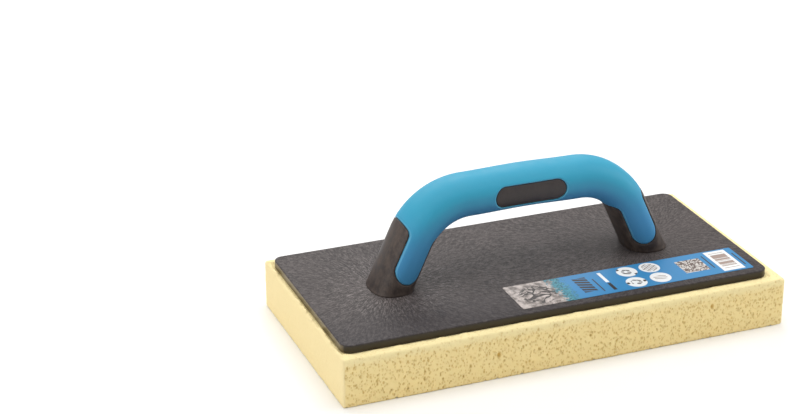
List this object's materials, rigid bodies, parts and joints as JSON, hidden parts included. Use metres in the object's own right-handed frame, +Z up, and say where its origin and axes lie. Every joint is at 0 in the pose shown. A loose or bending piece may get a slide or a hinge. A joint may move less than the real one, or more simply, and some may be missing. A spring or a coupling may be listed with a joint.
{
  "type": "sponge grout float",
  "caption": "Flat plate with a two-tone D-shaped handle and a thick replaceable foam pad held under it by hook and loop, for washing and smoothing fresh grout.",
  "frame": {"origin": "centre of the foam pad's working face, which is the middle of the bounding box's bottom", "axes": "+X along the long side, +Y across the float towards the side away from the label, +Z up through the handle"},
  "size_m": [0.28, 0.14, 0.0983],
  "materials": {
    "foam": "matte",
    "loop_cloth": "matte",
    "hook_plastic": "matte",
    "plate_plastic": "satin",
    "core_plastic": "satin",
    "grip_rubber": "satin",
    "label_film": "gloss",
    "screw_steel": "satin"
  },
  "bodies": {
    "pad": {"sponge_pad": "foam", "loop_backing": "loop_cloth"},
    "float": {"hook_sheet": "hook_plastic", "base_plate": "plate_plastic", "label": "label_film", "handle_core": "core_plastic", "grip_sleeve": "grip_rubber", "screw_left_front": "screw_steel", "screw_left_rear": "screw_steel", "screw_right_front": "screw_steel", "screw_right_rear": "screw_steel"}
  },
  "joints": [
    {"name": "pad_release", "type": "slide", "parent": "pad", "child": "float", "axis": [0, 0, 1], "range_m": [0, 0.05]}
  ]
}
